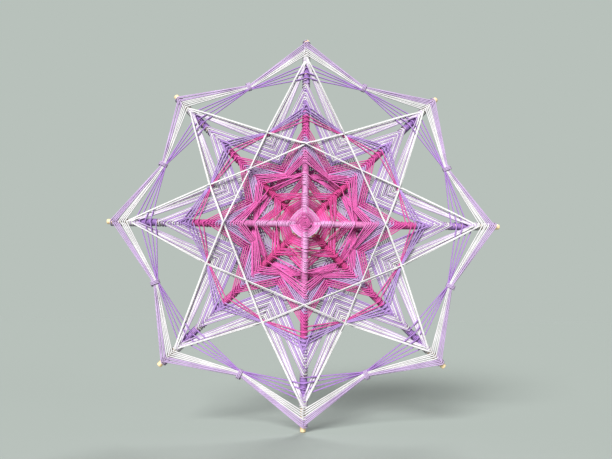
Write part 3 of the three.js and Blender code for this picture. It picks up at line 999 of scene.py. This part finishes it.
class OJO_OT_ties(bpy.types.Operator):
    """Wrap the ties round the gathered rim"""

    bl_idname = "ojo.ties"
    bl_label = "Ties"

    def execute(self, context):
        settings = context.scene.ojo
        yarn = settings.yarn_diameter / MM
        steps = TURN_POINTS * settings.tie_turns + 1
        turned = np.linspace(0, 2 * math.pi * settings.tie_turns, steps)
        for gap in range(ARMS):
            middle = arm_angle(gap + 0.5)
            out = TIE_RADIUS + TIE_HALF_OUT * np.cos(turned)
            side = yarn * (np.arange(steps) / TURN_POINTS - settings.tie_turns / 2)
            plan = out[:, None] * on_ray(middle, 1) + side[:, None] * on_ray(middle - math.pi / 2, 1)
            depth = tie_depth(gap) + TIE_HALF_DEEP * np.sin(turned)
            points = np.column_stack((plan[:, 0], depth, plan[:, 1])) * MM
            node = f"tie_{gap + 1}"
            piece = yarn_mesh(f"{node}_yarn", [(points, [0] * steps)], settings, [yarn_material("lilac")])
            hand_over(piece, node)
        return {"FINISHED"}


class OJO_OT_stage(bpy.types.Operator):
    """Set the plain floor, the soft light and the camera"""

    bl_idname = "ojo.stage"
    bl_label = "Stage"

    def execute(self, context):
        add_floor()
        for light in LIGHTS:
            add_light(*light)
        add_world()
        add_camera()
        context.scene.view_settings.view_transform = "Standard"
        return {"FINISHED"}


def add_floor():
    """A wide pale floor, dyed so that in full light it shows the backdrop's colour."""
    settings = bpy.context.scene.ojo
    full_light = AROUND_LIGHT + sum(strength * direction.z for _, direction, strength in LIGHTS) / math.pi
    bpy.ops.mesh.primitive_circle_add(
        vertices=FLOOR_SIDES, radius=FLOOR_RADIUS, fill_type="NGON",
        location=(0, 0, FLOOR_HEIGHT - FLOOR_GAP))
    floor = bpy.context.active_object
    floor.name = "floor"
    material, _, shader = shader_tree("pale_floor")
    shader.inputs["Base Color"].default_value = (*(value / full_light for value in settings.backdrop), 1)
    shader.inputs["Roughness"].default_value = 1
    shader.inputs["Specular IOR Level"].default_value = 0
    floor.data.materials.append(material)


def add_light(name, direction, strength):
    """An even soft light from one direction."""
    lamp = bpy.data.lights.new(name, "SUN")
    lamp.angle = LIGHT_SPREAD
    lamp.energy = strength
    light = bpy.data.objects.new(name, lamp)
    light.location = direction
    light.rotation_euler = (-direction).to_track_quat("-Z", "Y").to_euler()
    bpy.context.scene.collection.objects.link(light)


def add_world():
    """Even light from all round, with the backdrop's own colour where the camera sees it."""
    settings = bpy.context.scene.ojo
    world = bpy.data.worlds.new("studio")
    world.use_nodes = True
    tree = world.node_tree
    tree.nodes.clear()
    seen = tree.nodes.new("ShaderNodeBackground")
    seen.inputs["Color"].default_value = (*settings.backdrop, 1)
    around = tree.nodes.new("ShaderNodeBackground")
    around.inputs["Color"].default_value = (1, 1, 1, 1)
    around.inputs["Strength"].default_value = AROUND_LIGHT
    rays = tree.nodes.new("ShaderNodeLightPath")
    pick = tree.nodes.new("ShaderNodeMixShader")
    output = tree.nodes.new("ShaderNodeOutputWorld")
    tree.links.new(rays.outputs["Is Camera Ray"], pick.inputs["Fac"])
    tree.links.new(around.outputs["Background"], pick.inputs[1])
    tree.links.new(seen.outputs["Background"], pick.inputs[2])
    tree.links.new(pick.outputs["Shader"], output.inputs["Surface"])
    bpy.context.scene.world = world


def add_camera():
    """A camera at the photograph's angle."""
    data = bpy.data.cameras.new("photo_view")
    data.lens = data.sensor_width * FOCAL_PIXELS / IMAGE_WIDTH
    data.clip_start = 0.01
    camera = bpy.data.objects.new("photo_view", data)
    tilt, swing, roll = VIEW_TURNS
    turn = Matrix.Rotation(swing, 4, "Y") @ Matrix.Rotation(tilt, 4, "X") @ Matrix.Rotation(roll, 4, "Z")
    to_view = Matrix.Translation(VIEW_SHIFT) @ turn
    camera.matrix_world = to_view.inverted() @ Matrix.Rotation(math.pi / 2, 4, "X")
    bpy.context.scene.collection.objects.link(camera)
    bpy.context.scene.camera = camera


class OJO_PT_panel(bpy.types.Panel):
    """Lists the steps of the mandala in the sidebar"""

    bl_label = "Ojo de dios"
    bl_idname = "OJO_PT_panel"
    bl_space_type = "VIEW_3D"
    bl_region_type = "UI"
    bl_category = "Ojo"

    def draw(self, context):
        for name in OjoSettings.__annotations__:
            self.layout.prop(context.scene.ojo, name)
        for step in STEPS:
            self.layout.operator(step.bl_idname)


STEPS = (OJO_OT_sticks, OJO_OT_eye, OJO_OT_inner_rounds, OJO_OT_stars, OJO_OT_outer_webs, OJO_OT_rim,
         OJO_OT_ties, OJO_OT_stage)
CLASSES = (OjoSettings, *STEPS, OJO_PT_panel)


def register():
    """Makes the settings, the steps and the panel known."""
    for item in CLASSES:
        bpy.utils.register_class(item)
    bpy.types.Scene.ojo = PointerProperty(type=OjoSettings)


def unregister():
    """Takes the settings, the steps and the panel away again."""
    del bpy.types.Scene.ojo
    for item in reversed(CLASSES):
        bpy.utils.unregister_class(item)


def main():
    """Makes the whole mandala."""
    register()
    bpy.ops.ojo.sticks()
    bpy.ops.ojo.eye()
    bpy.ops.ojo.inner_rounds()
    bpy.ops.ojo.stars()
    bpy.ops.ojo.outer_webs()
    bpy.ops.ojo.rim()
    bpy.ops.ojo.ties()
    bpy.ops.ojo.stage()


if __name__ == "__main__":
    main()
